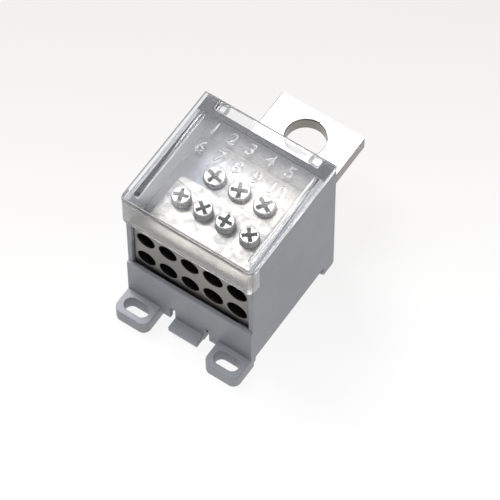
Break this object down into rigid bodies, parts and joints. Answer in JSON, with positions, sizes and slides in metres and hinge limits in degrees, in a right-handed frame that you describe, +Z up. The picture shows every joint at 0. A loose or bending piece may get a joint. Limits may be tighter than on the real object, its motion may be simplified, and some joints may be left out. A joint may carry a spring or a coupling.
{
  "type": "power distribution block",
  "caption": "Rail or screw mounted distribution block: a flat busbar with a bolt hole feeds round wire bores in a plated metal block under a clear hinged cover.",
  "frame": {"origin": "on the mounting plane, midway between the two foot slots", "axes": "+X to the right seen from the wire side, +Y from the wire side towards the busbar, +Z up from the mounting plane"},
  "size_m": [0.0466, 0.0808, 0.0585],
  "materials": {
    "housing_grey": "moulded, fine texture",
    "clear_polycarbonate": "polished clear plastic",
    "plated_block": "tin plated, satin",
    "plated_bar": "tin plated, bright satin",
    "screw_steel": "zinc plated"
  },
  "bodies": {
    "base": {"base_housing": "housing_grey", "terminal_block": "plated_block", "busbar": "plated_bar", "block_screw_left": "screw_steel", "block_screw_right": "screw_steel"},
    "cover": {"clear_cover": "clear_polycarbonate"},
    "front_screw_1": {"front_clamp_screw_1": "screw_steel"},
    "front_screw_2": {"front_clamp_screw_2": "screw_steel"},
    "front_screw_3": {"front_clamp_screw_3": "screw_steel"},
    "front_screw_4": {"front_clamp_screw_4": "screw_steel"},
    "rear_screw_1": {"rear_clamp_screw_1": "screw_steel"},
    "rear_screw_2": {"rear_clamp_screw_2": "screw_steel"},
    "rear_screw_3": {"rear_clamp_screw_3": "screw_steel"}
  },
  "joints": [
    {"name": "cover_hinge", "type": "hinge", "parent": "base", "child": "cover", "pos_m": [0, 0.04702, 0.054], "axis": [-1, 0, 0], "range_deg": [0, 100]},
    {"name": "front_screw_1_travel", "type": "slide", "parent": "base", "child": "front_screw_1", "axis": [0, 0, -1], "range_m": [0, 0.003]},
    {"name": "front_screw_2_travel", "type": "slide", "parent": "base", "child": "front_screw_2", "axis": [0, 0, -1], "range_m": [0, 0.003]},
    {"name": "front_screw_3_travel", "type": "slide", "parent": "base", "child": "front_screw_3", "axis": [0, 0, -1], "range_m": [0, 0.003]},
    {"name": "front_screw_4_travel", "type": "slide", "parent": "base", "child": "front_screw_4", "axis": [0, 0, -1], "range_m": [0, 0.003]},
    {"name": "rear_screw_1_travel", "type": "slide", "parent": "base", "child": "rear_screw_1", "axis": [0, 0, 1], "range_m": [0, 0.003]},
    {"name": "rear_screw_2_travel", "type": "slide", "parent": "base", "child": "rear_screw_2", "axis": [0, 0, 1], "range_m": [0, 0.003]},
    {"name": "rear_screw_3_travel", "type": "slide", "parent": "base", "child": "rear_screw_3", "axis": [0, 0, 1], "range_m": [0, 0.003]}
  ]
}
